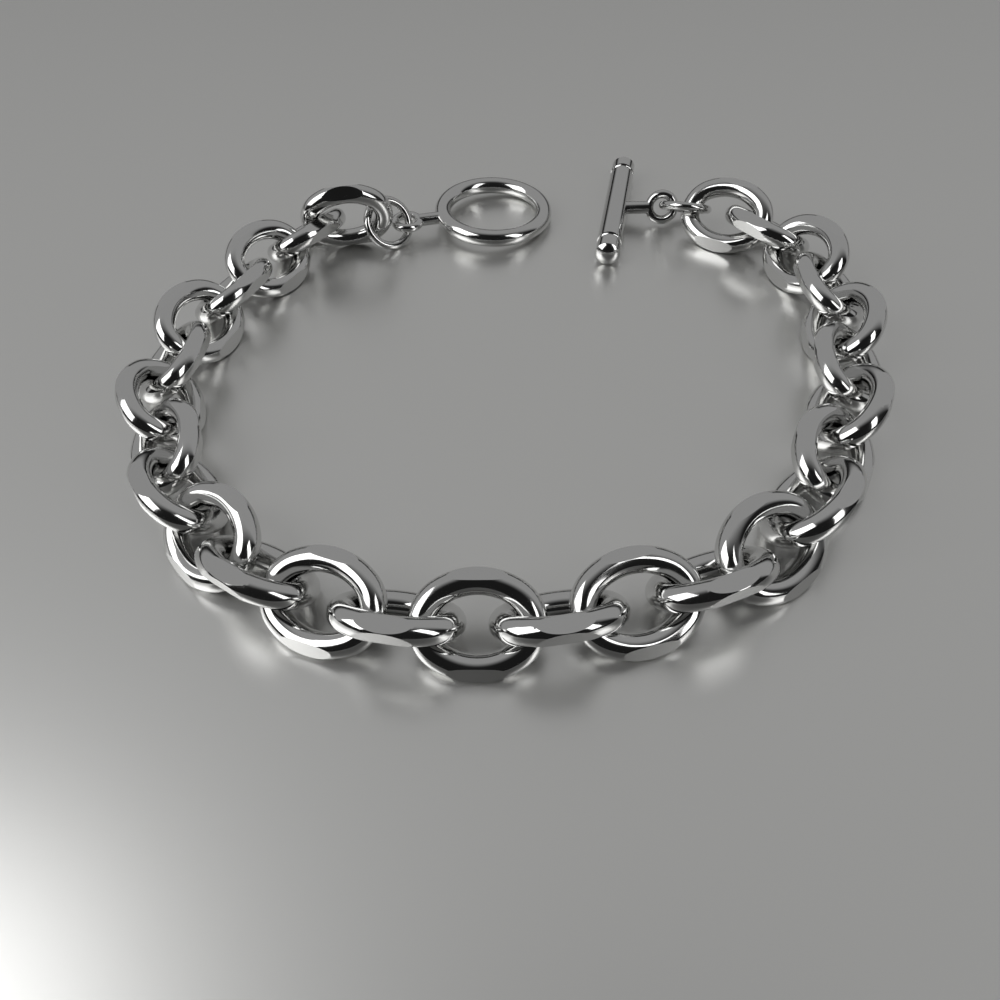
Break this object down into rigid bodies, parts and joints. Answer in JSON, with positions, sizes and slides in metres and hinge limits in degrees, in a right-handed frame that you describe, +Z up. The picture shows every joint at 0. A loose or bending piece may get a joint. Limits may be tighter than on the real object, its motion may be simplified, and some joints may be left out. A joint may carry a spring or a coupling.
{
  "type": "link bracelet",
  "caption": "Chunky polished steel link bracelet with flat-sided oval links and a toggle clasp, lying open on a surface.",
  "frame": {"origin": "on the surface the bracelet lies on, under the middle of its whole extent", "axes": "+Z up, +X to the right and +Y to the back as seen from the front; the clasp is at the back"},
  "size_m": [0.0783, 0.0758, 0.0089],
  "materials": {
    "polished_steel": "polished stainless steel"
  },
  "bodies": {
    "root": {"link_01": "polished_steel", "link_02": "polished_steel", "link_03": "polished_steel", "link_04": "polished_steel", "link_05": "polished_steel", "link_06": "polished_steel", "link_07": "polished_steel", "link_08": "polished_steel", "link_09": "polished_steel", "link_10": "polished_steel", "link_11": "polished_steel", "link_12": "polished_steel", "link_13": "polished_steel", "link_14": "polished_steel", "link_15": "polished_steel", "link_16": "polished_steel", "link_17": "polished_steel", "link_18": "polished_steel", "link_19": "polished_steel", "link_20": "polished_steel", "link_21": "polished_steel", "link_22": "polished_steel", "link_23": "polished_steel", "link_24": "polished_steel", "link_25": "polished_steel", "link_26": "polished_steel", "link_27": "polished_steel", "jump_ring_1": "polished_steel", "jump_ring_2": "polished_steel", "toggle_ring": "polished_steel", "toggle_bar": "polished_steel"}
  },
  "joints": []
}
